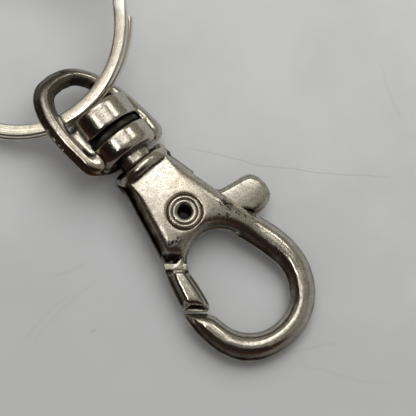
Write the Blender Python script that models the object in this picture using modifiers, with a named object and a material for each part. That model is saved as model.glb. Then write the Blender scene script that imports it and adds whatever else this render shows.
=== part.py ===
"""Swivel trigger snap with a split ring through its eye, lying on its back.

The clasp is drawn in its own frame: origin on the rivet's axis at mid thickness, +Y along the swivel
axis towards the ring, +X towards the thumb tab, +Z out of the upper face. Metres throughout.
"""

import math

import bmesh
import bpy
import numpy as np
from mathutils import Matrix, Vector
from mathutils.geometry import delaunay_2d_cdt

# Casting
HOOK_HALF_WIDTH = 0.0094
HOOK_REACH = 0.0231
SHOULDER_REACH = 0.0076
SHOULDER_HALF_WIDTH = 0.0042
BODY_HALF_THICKNESS = 0.0028
SHOULDER_HALF_THICKNESS = 0.0033
LOOP_HALF_THICKNESS = 0.0021
CROWN_WIDTH = 0.0017
LIP_WIDTH = 0.00025
LIP_HALF_THICKNESS = 0.00022
HOOK_LIP = (LIP_WIDTH, LIP_HALF_THICKNESS)
OUTLINE_STEP = 0.00075
FLAT_STEP = 0.0014

# Lever slot and spring seat
LEVER_HALF_THICKNESS = 0.00095
LEVER_CLEARANCE = 0.0003
SLOT_TOP_REACH = 0.0037
SLOT_FOOT_REACH = 0.0087
SPRING_PLACE = 0.0029
SPRING_SEAT_PLACE = 0.0018
SPRING_RADIUS = 0.00065
SPRING_WIRE_RADIUS = 0.00015
SPRING_TURNS = 5
SPRING_TURN_POINTS = 10
SPRING_POCKET_DEPTH = 0.0028

# Rivet
RIVET_RADIUS = 0.00145
RIVET_BORE_RADIUS = 0.00095
RIVET_HEAD_RADIUS = 0.0023
RIVET_HEAD_RISE = 0.00028
RIVET_CLEARANCE = 0.0002
RECESS_DEPTH = 0.0005

# Swivel end of the casting
COLLAR_RADIUS = 0.00435
COLLAR_PLACE = 0.0091
COLLAR_BEAD_RADIUS = 0.00085
ROOT_RADIUS = 0.0029
ROOT_PLACE = 0.0062
NECK_RADIUS = 0.0024
HEAD_RADIUS = 0.0042
HEAD_PLACE = 0.01445
HEAD_THICKNESS = 0.0008
HEAD_EDGE = 0.00012

# Swivel eye
HUB_RADIUS = 0.00465
HUB_BOTTOM_PLACE = 0.011
HUB_LENGTH = 0.0081
HUB_BOTTOM_EDGE = 0.001
HUB_TOP_EDGE = 0.0004
NECK_CLEARANCE = 0.0003
HEAD_SEAT_GAP = 0.0003
SLOT_HEIGHT = 0.00145
SLOT_HALF_WIDTH = 0.00445
EYE_HALF_WIDTH = 0.007
EYE_TOP_REACH = 0.0126
EYE_BOTTOM_REACH = 0.0036
EYE_BAR_WIDTH = 0.0028
EYE_HALF_THICKNESS = 0.0013
EYE_CORNER_RADIUS = 0.0022
EYE_CROWN_WIDTH = 0.00115
EYE_WEB_DEPTH = 0.0011
EYE_WEB_HALF_THICKNESS = 0.001
EYE_ROLL_DEGREES = 19.5
EYE_LEAN_DEGREES = -3
EYE_SKEW_DEGREES = 8

# Lever
LEVER_HUB_RADIUS = 0.00275
LEVER_CROWN_WIDTH = 0.0006
LEVER_STEP = 0.00045
LEVER_HUB_END_DEGREES = 200
TAB_REACH = 0.0115
FINGER_HALF_THICKNESS = 0.002
FINGER_CROWN_WIDTH = 0.0010
FINGER_LIP_WIDTH = 0.0003
FINGER_LIP_HALF_THICKNESS = 0.00027

# Split ring
RING_RADIUS = 0.0163
RING_WIRE_WIDTH = 0.0019
RING_WIRE_THICKNESS = 0.0012
RING_WIRE_EDGE = 0.0004
RING_TURN_GAP = 0.00042
RING_TURN_OFFSET = 0.0009
RING_TURN_SHIFT = 0.00095
RING_NEAR_PLACE = 0.02086
RING_SIDE_SHIFT = 0.00008
RING_NEAR_RISE = 0.00171
RING_TILT_DEGREES = 16
RING_PITCH_DEGREES = -6
RING_STEP_PLACE_DEGREES = 324
RING_STEP_DEGREES = 26
RING_END_GAP_DEGREES = 4
RING_HINGE_INSET = 0.0013
RING_HINGE_RISE = 0.0008
RING_HINGE_YAW_DEGREES = 16

# Shared
OVERRUN = 0.002
SCREW_STEPS = 48
ROUND_STEPS = 7
BEAD_STEPS = 8
RIM_STEPS = 4
EDGE_STEPS = 2

# Outlines as shares: across of a half width, along of a reach
HOOK_OUTER_SHARES = (
    (0.65, -0.02), (0.835, -0.285), (0.925, -0.405), (0.968, -0.495), (0.978, -0.58), (0.955, -0.665),
    (0.885, -0.75), (0.775, -0.83), (0.625, -0.897), (0.44, -0.95), (0.23, -0.985), (0.01, -1.0),
    (-0.205, -0.998), (-0.41, -0.98), (-0.605, -0.942), (-0.775, -0.882), (-0.89, -0.81),
    (-0.965, -0.725), (-1.0, -0.635), (-1.005, -0.55), (-0.968, -0.442),
)
BEAK_SHARES = ((-0.968, -0.442), (-0.686, -0.535), (-0.625, -0.582))
HOOK_INNER_SHARES = (
    (-0.625, -0.582), (-0.6, -0.638), (-0.56, -0.7), (-0.466, -0.762), (-0.327, -0.81),
    (-0.162, -0.837), (0.006, -0.842), (0.16, -0.832), (0.305, -0.802), (0.423, -0.753),
    (0.51, -0.692), (0.549, -0.633), (0.55, -0.57), (0.517, -0.503), (0.482, -0.436),
    (0.436, -0.374), (0.385, -0.31), (0.3, -0.242), (0.18, -0.192), (0.03, -0.171),
    (-0.12, -0.174), (-0.251, -0.19), (-0.343, -0.212), (-0.429, -0.237),
)
FOOT_SHARES = ((-0.429, -0.237), (-0.7, -0.13))
FLASH_SHARES = ((1.09, 0.87), (1.0, 0.96), (0.92, 1.0), (0.8, 1.05))
LEVER_SLOT_SHARES = (
    (1.15, 0.158), (0.08, 0.158), (-0.16, 0.142), (-0.31, 0.09), (-0.375, 0.01), (-0.385, -0.04),
    (-0.61, -0.167), (-0.85, -0.28), (-0.2, -0.4), (0.415, -0.29), (0.84, -0.297), (1.15, -0.286),
)
ARM_BLOCK_SHARES = (
    (-0.575, -0.1707), (-0.5982, -0.1763), (-0.7047, -0.1426), (-0.7414, -0.1657),
    (-0.7744, -0.2034), (-0.7585, -0.2511), (-0.5958, -0.3113),
)
ARM_SHARES = (
    (-0.504, -0.2938), (-0.4429, -0.238), (-0.3621, -0.2014), (-0.2606, -0.1773),
    (-0.1493, -0.1637), (-0.0159, -0.1572), (0.1223, -0.1667), (0.2496, -0.1948), (0.3401, -0.234),
    (0.3829, -0.2641),
)
TAB_SHARES = (
    (0.67, -0.2772), (0.774, -0.2792), (0.863, -0.2707), (0.939, -0.2511), (0.987, -0.2164),
    (1.004, -0.1687), (0.996, -0.121), (0.965, -0.0824), (0.913, -0.0583), (0.843, -0.0477),
    (0.739, -0.0392), (0.539, -0.0216),
)
SEAT_SHARE = 0.365
FINGER_SHARES = (
    (-0.7781, -0.2074), (-0.8246, -0.2626), (-0.8625, -0.3199), (-0.8992, -0.3776),
    (-0.9237, -0.4163), (-0.9114, -0.4344), (-0.8356, -0.4645), (-0.7475, -0.4956),
    (-0.6802, -0.5172), (-0.6337, -0.5187), (-0.5946, -0.5052), (-0.5652, -0.4761),
    (-0.5432, -0.4319), (-0.5212, -0.3761), (-0.5077, -0.3294), (-0.4979, -0.2882),
)
EYE_ARCH_SHARES = (
    (1.0, 0.17), (0.99, 0.27), (0.965, 0.39), (0.92, 0.52), (0.845, 0.655), (0.73, 0.785),
    (0.565, 0.895), (0.34, 0.97), (0.0, 1.0),
)


def linked(obj, collection):
    collection.objects.link(obj)
    return obj


def object_from(name, mesh_builder, collection):
    """An object named name whose mesh is written from a bmesh."""
    mesh = bpy.data.meshes.new(name)
    mesh_builder.to_mesh(mesh)
    mesh_builder.free()
    return linked(bpy.data.objects.new(name, mesh), collection)


def as_cutter(obj):
    obj.hide_render = True
    obj.display_type = "WIRE"
    return obj


def combined(obj, other, operation):
    """Cuts other from obj, or joins it to obj."""
    modifier = obj.modifiers.new(operation.lower() + "_" + other.name, "BOOLEAN")
    modifier.operation = operation
    modifier.solver = "EXACT"
    modifier.object = as_cutter(other)
    return obj


def settled(obj):
    """The same object with its modifiers, or its curve, made into one plain mesh."""
    graph = bpy.context.evaluated_depsgraph_get()
    mesh = bpy.data.meshes.new_from_object(obj.evaluated_get(graph))
    name = obj.name
    collection = obj.users_collection[0]
    bpy.data.objects.remove(obj)
    shape = bmesh.new()
    shape.from_mesh(mesh)
    bmesh.ops.remove_doubles(shape, verts=shape.verts, dist=WELD)
    bmesh.ops.recalc_face_normals(shape, faces=shape.faces)
    bpy.data.meshes.remove(mesh)
    return object_from(name, shape, collection)


def smooth_spline(points, step):
    """Points about step apart on a smooth curve through the given points, ends included."""
    points = [Vector(p) for p in points]
    ahead = [2 * points[0] - points[1]] + points + [2 * points[-1] - points[-2]]
    found = [points[0]]
    for before, start, end, after in zip(ahead, ahead[1:], ahead[2:], ahead[3:]):
        pieces = max(1, round((end - start).length / step))
        for index in range(1, pieces + 1):
            t = index / pieces
            found.append(
                (
                    2 * start
                    + (end - before) * t
                    + (2 * before - 5 * start + 4 * end - after) * t * t
                    + (3 * start - before - 3 * end + after) * t * t * t
                )
                / 2
            )
    return found


def straight_run(start, end, step):
    start, end = Vector(start), Vector(end)
    pieces = max(1, round((end - start).length / step))
    return [start.lerp(end, index / pieces) for index in range(pieces + 1)]


def arc_run(centre, radius, first, last, step):
    """Points on an arc between two angles in degrees."""
    pieces = max(2, round(abs(math.radians(last - first)) * radius / step))
    angles = [math.radians(first + (last - first) * index / pieces) for index in range(pieces + 1)]
    return [Vector((centre[0] + radius * math.cos(a), centre[1] + radius * math.sin(a))) for a in angles]


def closed_outline(runs):
    """One loop of points from runs that follow each other."""
    loop = []
    for run in runs:
        for point in run:
            if not loop or (point - loop[-1]).length > WELD:
                loop.append(point)
    if (loop[0] - loop[-1]).length <= WELD:
        loop.pop()
    return loop


def edge_distance(points, loops):
    """How far each point lies from the nearest stretch of outline."""
    points = np.array([tuple(p) for p in points])
    nearest = np.full(len(points), np.inf)
    for loop in loops:
        starts = np.array([tuple(p) for p in loop])
        runs = np.roll(starts, -1, axis=0) - starts
        for start, run in zip(starts, runs):
            share = np.clip((points - start) @ run / (run @ run), 0, 1)
            away = points - start - share[:, None] * run
            nearest = np.minimum(nearest, np.hypot(away[:, 0], away[:, 1]))
    return nearest


def inside(points, loops):
    """Which points lie inside the outline, its holes left out."""
    points = np.array([tuple(p) for p in points])
    odd = np.zeros(len(points), bool)
    for loop in loops:
        for start, end in zip(loop, loop[1:] + loop[:1]):
            crosses = (start[1] > points[:, 1]) != (end[1] > points[:, 1])
            if not crosses.any():
                continue
            share = (points[:, 1] - start[1]) / (end[1] - start[1])
            odd ^= crosses & (points[:, 0] < start[0] + share * (end[0] - start[0]))
    return odd


def crown_rings(loops, shaping, insets):
    """Rows of points at each inset from the outline, as far as the plate is wide enough for them."""
    rows = []
    for inset in insets:
        for loop in loops:
            for side in (inset, -inset):
                row = []
                for before, here, after in zip(loop[-1:] + loop[:-1], loop, loop[1:] + loop[:1]):
                    along = (after - before).normalized()
                    row.append(here + side * Vector((-along[1], along[0])))
                clear = edge_distance(row, shaping) > inset * (1 - INSET_SLACK_SHARE)
                clear &= edge_distance(row, loops) > insets[0] * (1 - INSET_SLACK_SHARE)
                keep = inside(row, loops) & clear
                rows.append([point if kept else None for point, kept in zip(row, keep)])
    return rows


def open_grid(loops, shaping, insets, step):
    """Points over what the rings leave of the plate."""
    across = [p[0] for p in loops[0]]
    along = [p[1] for p in loops[0]]
    grid = [
        Vector((x, y))
        for x in np.arange(min(across), max(across), step)
        for y in np.arange(min(along), max(along), step)
    ]
    clear = edge_distance(grid, shaping) > insets[-1] + step / 2
    keep = inside(grid, loops) & clear & (edge_distance(grid, loops) > insets[0])
    return [point for point, kept in zip(grid, keep) if kept]


def crowned_plate(name, loops, crown_width, half_thickness, collection, lip=HOOK_LIP, shaping=None):
    """A cast plate over an outline: a thin parting lip at mid thickness, flanks that round in to the
    crown, and a flat beyond it. half_thickness gives the crown's height at a point, and shaping the
    outline that the crown follows, where an end of the plate is hidden in another form."""
    shaping = shaping or loops
    lip_width, lip_half_thickness = lip
    insets = [lip_width + crown_width * share for share in CROWN_SHARES]
    points = []
    edges = []
    for loop in loops:
        first = len(points)
        points += loop
        edges += [(first + i, first + (i + 1) % len(loop)) for i in range(len(loop))]
    for row in crown_rings(loops, shaping, insets):
        places = {}
        for index, point in enumerate(row):
            if point is not None:
                places[index] = len(points)
                points.append(point)
        for index, place in places.items():
            after = (index + 1) % len(row)
            if after in places and (row[after] - row[index]).length < RING_GAP_LIMIT:
                edges.append((place, places[after]))
    points += open_grid(loops, shaping, insets, FLAT_STEP)
    flat, _, faces, *_ = delaunay_2d_cdt(points, edges, [], 0, WELD)
    middles = [sum((flat[i] for i in face), Vector((0, 0))) / len(face) for face in faces]
    # A sliver whose middle lies on a straight run of the outline is no part of the plate
    filled = inside(middles, loops) & (edge_distance(middles, loops) > WELD)
    faces = [face for face, kept in zip(faces, filled) if kept]
    depth = edge_distance(flat, shaping)

    shape = bmesh.new()
    upper, lower = [], []
    for point, inset in zip(flat, depth):
        share = min(1.0, max(0.0, (inset - lip_width) / crown_width))
        round_in = math.sqrt(1 - (1 - share) ** 2)
        height = max(lip_half_thickness, half_thickness(point) * round_in)
        upper.append(shape.verts.new((point[0], point[1], height)))
        lower.append(shape.verts.new((point[0], point[1], -height)))
    used = {}
    for face in faces:
        shape.faces.new([upper[i] for i in face])
        shape.faces.new([lower[i] for i in reversed(face)])
        for start, end in zip(face, face[1:] + face[:1]):
            used[start, end] = (end, start) not in used and not used.pop((end, start), False)
    for (start, end), outer in list(used.items()):
        if outer and (end, start) not in used:
            shape.faces.new((upper[end], upper[start], lower[start], lower[end]))
    bmesh.ops.delete(shape, geom=[v for v in shape.verts if not v.link_faces], context="VERTS")
    bmesh.ops.recalc_face_normals(shape, faces=shape.faces)
    return object_from(name, shape, collection)


def flat_plate(name, loop, half_thickness, collection):
    """A flat outline extruded both ways."""
    curve = bpy.data.curves.new(name, "CURVE")
    curve.dimensions = "2D"
    curve.fill_mode = "BOTH"
    curve.extrude = half_thickness
    spline = curve.splines.new("POLY")
    spline.points.add(len(loop) - 1)
    for point, place in zip(spline.points, loop):
        point.co = (place[0], place[1], 0, 1)
    spline.use_cyclic_u = True
    return settled(linked(bpy.data.objects.new(name, curve), collection))


def turned(name, profile, collection, along="Z"):
    """A profile of (radius, place) from the top down, turned about its axis."""
    shape = bmesh.new()
    points = [shape.verts.new((radius, 0, place)) for radius, place in profile]
    for start, end in zip(points, points[1:]):
        shape.edges.new((start, end))
    obj = object_from(name, shape, collection)
    screw = obj.modifiers.new("turn", "SCREW")
    screw.steps = SCREW_STEPS
    screw.render_steps = SCREW_STEPS
    screw.use_merge_vertices = True
    screw.merge_threshold = WELD
    obj = settled(obj)
    if along == "Y":
        obj.data.transform(Matrix.Rotation(-math.pi / 2, 4, "X"))
    return obj


def rounded(centre, radius, first, last, steps):
    """Points on a rounded corner of a turned profile, as (radius, place)."""
    step = abs(math.radians(last - first)) * radius / steps
    return [tuple(p) for p in arc_run(centre, radius, first, last, step)]


def finish(obj, colour, roughness, metallic, crease_degrees=38):
    """Smooth shading with its sharp edges, and the piece's own material."""
    obj.data.shade_smooth()
    obj.data.set_sharp_from_angle(angle=math.radians(crease_degrees))
    material = bpy.data.materials.new(obj.name)
    material.use_nodes = True
    shader = material.node_tree.nodes["Principled BSDF"]
    shader.inputs["Base Color"].default_value = (*colour, 1)
    shader.inputs["Roughness"].default_value = roughness
    shader.inputs["Metallic"].default_value = metallic
    obj.data.materials.clear()
    obj.data.materials.append(material)
    return obj


# Modelling limits: the weld distance, the slack on an inset, and the rounded flank's steps
WELD = 0.000002
INSET_SLACK_SHARE = 0.02
CROWN_SHARES = (0.0, 0.06, 0.2, 0.42, 0.7, 1.0)
INNER_STEP = 0.0009
RING_GAP_LIMIT = 0.0015
FULL_TURN = 360
RING_POINT_DEGREES = 5

NICKEL = (0.52, 0.49, 0.43)
STEEL = (0.68, 0.66, 0.61)
RIVET_NICKEL = (0.6, 0.56, 0.5)
SPRING_STEEL = (0.3, 0.29, 0.28)


for old in list(bpy.data.objects):
    bpy.data.objects.remove(old)
parts = bpy.data.collections.new("swivel_trigger_snap")
cutters = bpy.data.collections.new("cutters")
bpy.context.scene.collection.children.link(parts)
bpy.context.scene.collection.children.link(cutters)


def placed(shares, half_width=HOOK_HALF_WIDTH, reach=HOOK_REACH):
    """A table of shares as real places."""
    return [Vector((across * half_width, along * reach)) for across, along in shares]


def hook_thickness(point):
    """Half thickness of the casting: thick at the shoulder, flat round the rivet, thin at the loop."""
    if point[1] > SLOT_TOP_REACH:
        share = min(1.0, (point[1] - SLOT_TOP_REACH) / (SHOULDER_REACH - SLOT_TOP_REACH))
        rise = SHOULDER_HALF_THICKNESS - BODY_HALF_THICKNESS
        return BODY_HALF_THICKNESS + rise * share * share
    share = min(1.0, max(0.0, -(point[1] + RIVET_HEAD_RADIUS) / (SLOT_FOOT_REACH - RIVET_HEAD_RADIUS)))
    fall = BODY_HALF_THICKNESS - LOOP_HALF_THICKNESS
    return BODY_HALF_THICKNESS - fall * share * share * (3 - 2 * share)


def hook_outline(overrun=0.0):
    """The casting's outline at mid thickness: flank, loop, beak, opening, foot and other flank. The
    end under the collar's bead lies overrun further on."""
    shoulder_right = Vector((SHOULDER_HALF_WIDTH, SHOULDER_REACH))
    shoulder_left = Vector((-SHOULDER_HALF_WIDTH, SHOULDER_REACH))
    flash_right = placed(FLASH_SHARES, SHOULDER_HALF_WIDTH, COLLAR_PLACE)
    if overrun:
        flash_right = [Vector((SHOULDER_HALF_WIDTH, COLLAR_PLACE + overrun))]
    flash_left = [Vector((-p[0], p[1])) for p in flash_right]
    foot = placed(FOOT_SHARES)
    return closed_outline(
        [
            smooth_spline([shoulder_right] + placed(HOOK_OUTER_SHARES), OUTLINE_STEP),
            straight_run(*placed(BEAK_SHARES)[:2], OUTLINE_STEP),
            smooth_spline(placed(BEAK_SHARES)[1:], OUTLINE_STEP),
            smooth_spline(placed(HOOK_INNER_SHARES), OUTLINE_STEP),
            straight_run(foot[0], foot[1], OUTLINE_STEP),
            straight_run(foot[1], shoulder_left, OUTLINE_STEP),
            flash_left,
            straight_run(flash_left[-1], flash_right[-1], OUTLINE_STEP),
            flash_right[::-1],
        ]
    )


def swivel_post_profile():
    """Root in the body, collar bead, neck and trapped head, from the head down."""
    top = HEAD_PLACE + HEAD_THICKNESS
    bead_top = COLLAR_PLACE + COLLAR_BEAD_RADIUS
    bead_core = COLLAR_RADIUS - COLLAR_BEAD_RADIUS
    return (
        [(0, top), (HEAD_RADIUS - HEAD_EDGE, top), (HEAD_RADIUS, top - HEAD_EDGE)]
        + [(HEAD_RADIUS, HEAD_PLACE + HEAD_EDGE), (HEAD_RADIUS - HEAD_EDGE, HEAD_PLACE)]
        + [(NECK_RADIUS, HEAD_PLACE), (NECK_RADIUS, bead_top)]
        + rounded((bead_core, COLLAR_PLACE), COLLAR_BEAD_RADIUS, 90, -90, BEAD_STEPS)
        + [(ROOT_RADIUS, COLLAR_PLACE - COLLAR_BEAD_RADIUS), (ROOT_RADIUS, ROOT_PLACE), (0, ROOT_PLACE)]
    )


def make_hook_body():
    outline = [hook_outline()]
    crown_outline = [hook_outline(CROWN_WIDTH + OVERRUN)]
    body = crowned_plate(
        "hook_body", outline, CROWN_WIDTH, hook_thickness, parts, HOOK_LIP, crown_outline
    )
    post = turned("swivel_post", swivel_post_profile(), cutters, "Y")
    slot_half = LEVER_HALF_THICKNESS + LEVER_CLEARANCE
    slot = flat_plate("lever_slot", placed(LEVER_SLOT_SHARES), slot_half, cutters)
    reach = BODY_HALF_THICKNESS + OVERRUN
    bore_radius = RIVET_RADIUS + RIVET_CLEARANCE
    recess_radius = RIVET_HEAD_RADIUS + RIVET_CLEARANCE
    recess_floor = BODY_HALF_THICKNESS - RECESS_DEPTH
    bore_profile = [(0, reach), (recess_radius, reach), (recess_radius, recess_floor)]
    bore_profile += [(bore_radius, recess_floor), (bore_radius, -recess_floor)]
    bore_profile += [(recess_radius, -recess_floor), (recess_radius, -reach), (0, -reach)]
    bore = turned("rivet_bore", bore_profile, cutters)
    pocket_radius = SPRING_RADIUS + SPRING_WIRE_RADIUS + LEVER_CLEARANCE
    pocket_top = SLOT_TOP_REACH + SPRING_POCKET_DEPTH
    pocket_profile = [(0, pocket_top), (pocket_radius, pocket_top)]
    pocket_profile += [(pocket_radius, SLOT_TOP_REACH - OVERRUN), (0, SLOT_TOP_REACH - OVERRUN)]
    pocket = turned("spring_pocket", pocket_profile, cutters, "Y")
    pocket.data.transform(Matrix.Translation((SPRING_PLACE, 0, 0)))
    combined(body, post, "UNION")
    combined(body, slot, "DIFFERENCE")
    combined(body, pocket, "DIFFERENCE")
    combined(body, bore, "DIFFERENCE")
    return finish(settled(body), NICKEL, 0.3, 1.0)


def make_rivet():
    """Tube with both ends flared over into rolled lips."""
    crest = BODY_HALF_THICKNESS + RIVET_HEAD_RISE
    seat = BODY_HALF_THICKNESS - RECESS_DEPTH + RIVET_CLEARANCE
    lip_radius = (RIVET_HEAD_RADIUS - RIVET_BORE_RADIUS) / 2
    lip_centre = RIVET_BORE_RADIUS + lip_radius
    lip_height = crest - seat
    lip = [
        (lip_centre - lip_radius * math.cos(a), seat + lip_height * math.sin(a))
        for a in [math.pi * index / ROUND_STEPS for index in range(ROUND_STEPS + 1)]
    ]
    outer = [(RIVET_RADIUS, seat), (RIVET_RADIUS, -seat)]
    lower_lip = [(radius, -place) for radius, place in reversed(lip)]
    rivet = turned("pivot_rivet", lip + outer + lower_lip + [lip[0]], parts)
    return finish(rivet, RIVET_NICKEL, 0.25, 1.0)


def make_lever():
    """Hub on the rivet, arm and thumb tab in one plate, with the thick gate finger grown onto it."""
    block = placed(ARM_BLOCK_SHARES)
    arm = smooth_spline(placed(ARM_SHARES), OUTLINE_STEP)
    tab = smooth_spline(placed(TAB_SHARES, TAB_REACH), LEVER_STEP)
    seat_end = Vector((SEAT_SHARE * TAB_REACH, SPRING_SEAT_PLACE))
    seat_angle = math.degrees(math.asin(SPRING_SEAT_PLACE / LEVER_HUB_RADIUS))
    hub = arc_run((0, 0), LEVER_HUB_RADIUS, seat_angle, LEVER_HUB_END_DEGREES, OUTLINE_STEP)
    outline = closed_outline([[seat_end], hub, block, arm, tab])
    lever = crowned_plate("trigger_lever", [outline], LEVER_CROWN_WIDTH, lever_thickness, parts)
    finger_places = placed(FINGER_SHARES)
    finger_end = straight_run(finger_places[-1], finger_places[0], LEVER_STEP)
    finger_outline = closed_outline([smooth_spline(finger_places, LEVER_STEP), finger_end])
    # The finger's upper end is a steep ledge over the arm, so its crown follows a longer outline
    longer = [further(finger_places[1], finger_places[0])] + finger_places
    longer += [further(finger_places[-2], finger_places[-1])]
    crown_outline = closed_outline([smooth_spline(longer, LEVER_STEP)])
    finger_lip = (FINGER_LIP_WIDTH, FINGER_LIP_HALF_THICKNESS)
    finger = crowned_plate(
        "finger", [finger_outline], FINGER_CROWN_WIDTH, finger_thickness, cutters, finger_lip,
        [crown_outline]
    )
    reach = LEVER_HALF_THICKNESS + OVERRUN
    bore_radius = RIVET_RADIUS + LEVER_CLEARANCE
    bore_profile = [(0, reach), (bore_radius, reach), (bore_radius, -reach), (0, -reach)]
    bore = turned("lever_bore", bore_profile, cutters)
    combined(lever, finger, "UNION")
    combined(lever, bore, "DIFFERENCE")
    return finish(settled(lever), NICKEL, 0.3, 1.0)


def further(start, end):
    """A point beyond end on the line from start, far enough for the whole crown."""
    return end + (end - start).normalized() * (FINGER_CROWN_WIDTH + OVERRUN)


def lever_thickness(point):
    return LEVER_HALF_THICKNESS


def finger_thickness(point):
    return FINGER_HALF_THICKNESS


def least_gap(points, turn_points, wire):
    """The least space between neighbouring turns of a wound wire."""
    points = np.array([tuple(p) for p in points])
    apart = np.linalg.norm(points[:, None] - points[None, :], axis=2)
    order = np.arange(len(points))
    other_turn = np.abs(order[:, None] - order[None, :]) > turn_points / 2
    return apart[other_turn].min() - wire


def make_spring():
    """Open-ended compression spring between the pocket's end and the lever's flat seat."""
    bottom = SPRING_SEAT_PLACE + LEVER_CLEARANCE + SPRING_WIRE_RADIUS
    top = SLOT_TOP_REACH + SPRING_POCKET_DEPTH - LEVER_CLEARANCE - SPRING_WIRE_RADIUS
    count = SPRING_TURNS * SPRING_TURN_POINTS
    path = []
    for index in range(count + 1):
        angle = 2 * math.pi * index / SPRING_TURN_POINTS
        along = top + (bottom - top) * index / count
        across = SPRING_PLACE + SPRING_RADIUS * math.cos(angle)
        path.append(Vector((across, along, SPRING_RADIUS * math.sin(angle))))
    gap = least_gap(path, SPRING_TURN_POINTS, 2 * SPRING_WIRE_RADIUS)
    print("lever_spring least gap mm", round(1000 * gap, 3))
    curve = wire_curve("lever_spring", path)
    curve.bevel_depth = SPRING_WIRE_RADIUS
    curve.bevel_resolution = 1
    spring = settled(linked(bpy.data.objects.new("lever_spring", curve), parts))
    return finish(spring, SPRING_STEEL, 0.4, 1.0)


def wire_curve(name, path):
    curve = bpy.data.curves.new(name, "CURVE")
    curve.dimensions = "3D"
    curve.use_fill_caps = True
    spline = curve.splines.new("POLY")
    spline.points.add(len(path) - 1)
    for point, place in zip(spline.points, path):
        point.co = (*place, 1)
    return curve


def eye_outlines():
    """The loop's outer and inner lines, in the hub's frame, skewed to one side as the worn loop is."""
    arch = smooth_spline(placed(EYE_ARCH_SHARES, EYE_HALF_WIDTH, EYE_TOP_REACH), OUTLINE_STEP)
    corner = EYE_HALF_WIDTH - EYE_CORNER_RADIUS
    corner_place = EYE_CORNER_RADIUS - EYE_BOTTOM_REACH
    bottom = arc_run((corner, corner_place), EYE_CORNER_RADIUS, -90, 0, OUTLINE_STEP)
    leg = straight_run((EYE_HALF_WIDTH, corner_place), arch[0], OUTLINE_STEP)
    right = bottom + leg + arch
    left = [Vector((-p[0], p[1])) for p in reversed(right)]
    outer = closed_outline([right, left])
    inner_right = []
    for before, here, after in zip(arch[:-2], arch[1:-1], arch[2:]):
        along = (after - before).normalized()
        inner_right.append(here + EYE_BAR_WIDTH * Vector((-along[1], along[0])))
    inner_half = EYE_HALF_WIDTH - EYE_BAR_WIDTH
    inner_top = Vector((0, EYE_TOP_REACH - EYE_BAR_WIDTH))
    right = straight_run((inner_half, 0), inner_right[0], OUTLINE_STEP)
    right += smooth_spline(inner_right + [inner_top], INNER_STEP)
    left = [Vector((-p[0], p[1])) for p in reversed(right)]
    floor = straight_run((-inner_half, 0), (inner_half, 0), OUTLINE_STEP)
    return [skewed(outer), skewed(closed_outline([right, left, floor]))]


def skewed(loop):
    """The same points pushed over to one side, more so towards the top of the eye."""
    skew = math.tan(math.radians(EYE_SKEW_DEGREES))
    return [Vector((p[0] - skew * (p[1] + EYE_BOTTOM_REACH), p[1])) for p in loop]


def eye_thickness(point):
    return EYE_HALF_THICKNESS


def make_eye():
    """Round slotted hub grown together with its loop, bored for the neck."""
    eye = crowned_plate("swivel_eye", eye_outlines(), EYE_CROWN_WIDTH, eye_thickness, parts)
    bottom = HUB_BOTTOM_PLACE - HEAD_PLACE
    top = bottom + HUB_LENGTH
    profile = [(0, top)]
    top_corner = (HUB_RADIUS - HUB_TOP_EDGE, top - HUB_TOP_EDGE)
    bottom_corner = (HUB_RADIUS - HUB_BOTTOM_EDGE, bottom + HUB_BOTTOM_EDGE)
    profile += rounded(top_corner, HUB_TOP_EDGE, 90, 0, EDGE_STEPS)
    profile += rounded(bottom_corner, HUB_BOTTOM_EDGE, 0, -90, RIM_STEPS)
    profile += [(0, bottom)]
    hub = turned("hub", profile, cutters, "Y")
    web_half = EYE_HALF_WIDTH - EYE_BAR_WIDTH / 2
    web_bottom = EYE_CORNER_RADIUS - EYE_BOTTOM_REACH
    web_corners = [(-web_half, web_bottom), (web_half, web_bottom)]
    web_corners += [(web_half, top - EYE_WEB_DEPTH), (-web_half, top - EYE_WEB_DEPTH)]
    web = flat_plate("web", skewed([Vector(p) for p in web_corners]), EYE_WEB_HALF_THICKNESS, cutters)
    slot_floor = -HEAD_SEAT_GAP
    slot_top = slot_floor + SLOT_HEIGHT
    slot_corners = [(-SLOT_HALF_WIDTH, slot_floor), (SLOT_HALF_WIDTH, slot_floor)]
    slot_corners += [(SLOT_HALF_WIDTH, slot_top), (-SLOT_HALF_WIDTH, slot_top)]
    slot = flat_plate("head_slot", slot_corners, HUB_RADIUS + OVERRUN, cutters)
    bore_radius = NECK_RADIUS + NECK_CLEARANCE
    bore_profile = [(0, slot_floor + HEAD_THICKNESS), (bore_radius, slot_floor + HEAD_THICKNESS)]
    bore_profile += [(bore_radius, bottom - OVERRUN), (0, bottom - OVERRUN)]
    bore = turned("neck_bore", bore_profile, cutters, "Y")
    combined(eye, web, "UNION")
    combined(eye, hub, "UNION")
    combined(eye, slot, "DIFFERENCE")
    combined(eye, bore, "DIFFERENCE")
    return finish(settled(eye), NICKEL, 0.3, 1.0)


def ring_section():
    """The wire's flat rounded section."""
    across = RING_WIRE_WIDTH / 2 - RING_WIRE_EDGE
    high = RING_WIRE_THICKNESS / 2 - RING_WIRE_EDGE
    corners = (((across, high), 0), ((-across, high), 90), ((-across, -high), 180), ((across, -high), 270))
    outline = []
    for centre, first in corners:
        outline += arc_run(centre, RING_WIRE_EDGE, first, first + 90, RING_WIRE_EDGE)
    outline = closed_outline([outline])
    curve = bpy.data.curves.new("ring_wire_section", "CURVE")
    curve.dimensions = "2D"
    spline = curve.splines.new("POLY")
    spline.points.add(len(outline) - 1)
    for point, place in zip(spline.points, outline):
        point.co = (place[0], place[1], 0, 1)
    spline.use_cyclic_u = True
    return as_cutter(linked(bpy.data.objects.new("ring_wire_section", curve), cutters))


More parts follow.
